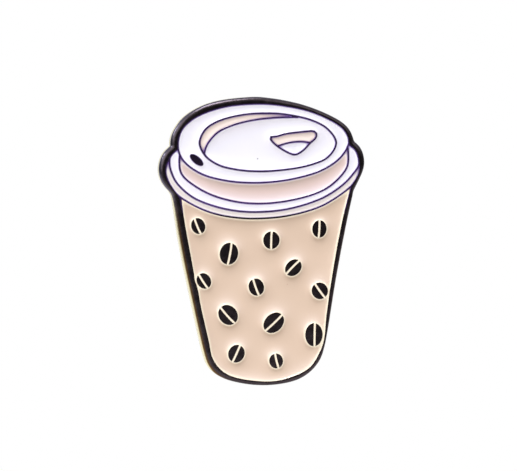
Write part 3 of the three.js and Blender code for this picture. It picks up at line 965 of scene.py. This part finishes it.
def build_strap(place):
    """The spring's base, crimped to the cap, with the bends where its legs start."""
    spot = POSTS[place]
    top = STRAP_HEIGHT + FOOT_BEND
    strip = Strip(bent(
        [(-LEG, top), (-LEG, STRAP_HEIGHT), (LEG, STRAP_HEIGHT), (LEG, top)], [FOOT_BEND] * 2))
    length = strip.along[-1]
    blank = [(0, -STRAP_HALF), (length / 2, -STRAP_HALF), (length, -STRAP_HALF),
             (length, STRAP_HALF), (length / 2, STRAP_HALF), (0, STRAP_HALF)]
    hole = [(length / 2 + CAP_HOLE * math.cos(t), CAP_HOLE * math.sin(t))
            for t in np.arange(24) * math.pi / 12]

    def dish(x, z):
        """The shallow dish round the hole."""
        return -0.03 * np.exp(-(x**2 + z**2) / 1.6)
    strap = strip.cut(place + "_spring_strap", [blank, hole], spot, dish)
    strap.data.materials.append(SPRING_NICKEL)
    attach(strap, place + "_clutch")
    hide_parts(place + "_clutch_spring")


def build_wing(place, name):
    """A leg, its jaw and the wing beyond, in one bent piece that springs at the leg."""
    spot = POSTS[place]
    side = 1 if name == "right" else -1
    height = JAWS[name]
    foot = STRAP_HEIGHT + FOOT_BEND
    strip = Strip(bent(
        [(-LEG, foot), (-LEG, height), (3.95, height), (4.75, 4.25), (5.6, 5.0), (5.72, 5.22)],
        [JAW_BEND, 0.3, 0.3, 0.08]))
    end = strip.along[-1]
    edge = [(1.1, STRAP_HALF), (1.32, 2.05), (1.5, 1.55), (1.7, 1.18), (1.95, NECK_HALF),
            (3.8, NECK_HALF), (3.98, 1.3), (4.12, 1.75), (4.4, 2.1), (4.85, 2.12), (5.25, 1.8), (5.6, 1.0)]
    upper = [(0, STRAP_HALF), (1.0, STRAP_HALF), *((strip.reach(x), z) for x, z in edge), (end, 0.35)]
    outline = upper + [(s, -z) for s, z in reversed(upper)]
    grip = capsule(strip.reach(0.0), strip.reach(JAW_TRAVEL), JAW_HOLE)
    loops = [outline, grip]
    if name == "left":
        sill = WINDOW_SILL - foot
        head = strip.reach(-LEG + JAW_BEND + 0.12)
        loops.append(window(sill, head, NECK_HALF + 0.2))

    def rib(x, z):
        """A raised rib down the wing, and a little dish in each lobe."""
        out = np.clip((x - 4.1) / 0.5, 0, 1)
        return out * (0.07 * np.exp(-(z / 0.28)**2) - 0.04 * np.exp(-((abs(z) - 1.1) / 0.45)**2))
    wing = strip.cut(f"{place}_{name}_spring_wing", loops, spot, rib, side)
    wing.data.materials.append(SPRING_NICKEL)
    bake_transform(wing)
    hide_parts(f"{place}_clutch_{name}_wing")


for place in PLACES:
    build_post(place)
    build_solder(place)
    build_cap(place)
    build_strap(place)
    for name in JAWS:
        build_wing(place, name)

# ---- studio --------------------------------------------------------------------------------------

AIM = Vector((-0.52, FRONT, 0.7))     # the middle of the view
AZIMUTH, ELEVATION = -9.0, 3.0        # where the camera stands, in degrees
DISTANCE = 300.0
VIEW_WIDTH = 57.5                     # what the camera takes in at the pin
SENSOR = 36.0
FLOOR_RADIUS = 600.0
FLOOR_DROP = 24.0                     # how far the floor is below the plate
FLOOR_GLOW = 0.15                     # how bright the floor far in front looks to all but the camera
SKY_LOW, SKY_TOP, SKY_BEHIND = 0.13, 0.57, 0.7
SKY_SHADE = 0.7                       # how much of the sky's light is kept off straight in front


def toward(azimuth, elevation):
    """The direction from the pin to something round it: azimuth 0 is straight in front of the face."""
    a, e = math.radians(azimuth), math.radians(elevation)
    return Vector((math.sin(a) * math.cos(e), -math.cos(a) * math.cos(e), math.sin(e)))


def placed(name, data, away, azimuth, elevation):
    """A camera or lamp that looks at the pin from a distance."""
    thing = bpy.data.objects.new(name, data)
    back = toward(azimuth, elevation)
    thing.location = (AIM + back * away) * MM
    thing.rotation_euler = (-back).to_track_quat("-Z", "Y").to_euler()
    bpy.context.scene.collection.objects.link(thing)
    return thing


def make_camera():
    """The camera, a little to the pin's left and above it, with a long lens."""
    data = bpy.data.cameras.new("camera")
    data.sensor_width = SENSOR
    data.lens = SENSOR * DISTANCE / VIEW_WIDTH
    data.clip_start, data.clip_end = 0.01, 10
    bpy.context.scene.camera = placed("camera", data, DISTANCE, AZIMUTH, ELEVATION)


def make_lamp(name, azimuth, elevation, away, size, power):
    """A round soft lamp that faces the pin."""
    data = bpy.data.lights.new(name, "AREA")
    data.shape = "DISK"
    data.size = size * MM
    data.energy = power
    placed(name, data, away, azimuth, elevation)


def make_world():
    """Soft light from above and from behind, and little from in front of the face. The camera sees it
    as plain white."""
    world = bpy.data.worlds.new("studio")
    bpy.context.scene.world = world
    world.use_nodes = True
    nodes = Nodes(world.node_tree)
    way = nodes.add("ShaderNodeTexCoord", output="Generated")
    y, z = (nodes.add("ShaderNodeSeparateXYZ", None, {0: way}, output=k) for k in (1, 2))
    ahead = (0 - y).between(math.cos(math.radians(52)), math.cos(math.radians(20)))
    top = z.between(-0.05, 0.6)
    behind = y.between(math.cos(math.radians(50)), math.cos(math.radians(25)))
    light = (SKY_LOW + top * SKY_TOP) * (1 - ahead * SKY_SHADE) + behind * SKY_BEHIND
    seen = nodes.add("ShaderNodeLightPath", output="Is Camera Ray")
    glow = nodes.add("ShaderNodeBackground", None, {
        "Color": (1, 1, 1, 1), "Strength": light * (1 - seen) + seen})
    nodes.add("ShaderNodeOutputWorld", None, {"Surface": glow})


def make_floor():
    """A pale floor below the pin that turns to plain white further out, so that no edge is seen."""
    bpy.ops.mesh.primitive_circle_add(
        vertices=96, radius=FLOOR_RADIUS * MM, fill_type="NGON",
        location=(0, 0, (PLATE_LOW.z - FLOOR_DROP) * MM))
    floor = bpy.context.object
    floor.name = "floor"
    material = bpy.data.materials.new("pale_floor")
    material.use_nodes = True
    nodes = Nodes(material.node_tree)
    spot = nodes.add(
        "ShaderNodeVectorMath", {"operation": "LENGTH"}, {0: nodes.place()}, output="Value")
    matt = nodes.add("ShaderNodeBsdfDiffuse", None, {"Color": rgba((240, 239, 237))})
    seen = nodes.add("ShaderNodeLightPath", output="Is Camera Ray")
    dim, clear = (nodes.add("ShaderNodeEmission", None, {"Color": (1, 1, 1, 1), "Strength": strength})
                  for strength in (FLOOR_GLOW, 1.0))
    ahead = spot.between(120, 260) * (1 - nodes.place("Y").between(40, 160))
    far = nodes.add("ShaderNodeMixShader", None, {0: 1 - ahead * (1 - seen), 1: dim, 2: clear})
    blend = nodes.add("ShaderNodeMixShader", None, {0: spot.between(55, 110), 1: matt, 2: far})
    nodes.add("ShaderNodeOutputMaterial", None, {"Surface": blend})
    floor.data.materials.append(material)
    let_go()


make_camera()
make_world()
make_floor()
make_lamp("key", -16, 62, 340, 150, 0.6)
make_lamp("right", 36, 34, 300, 200, 0.11)
make_lamp("fill", -38, 21, 300, 230, 0.28)
make_lamp("side", -78, 32, 300, 60, 0.12)
bpy.context.scene.view_settings.view_transform = "Standard"
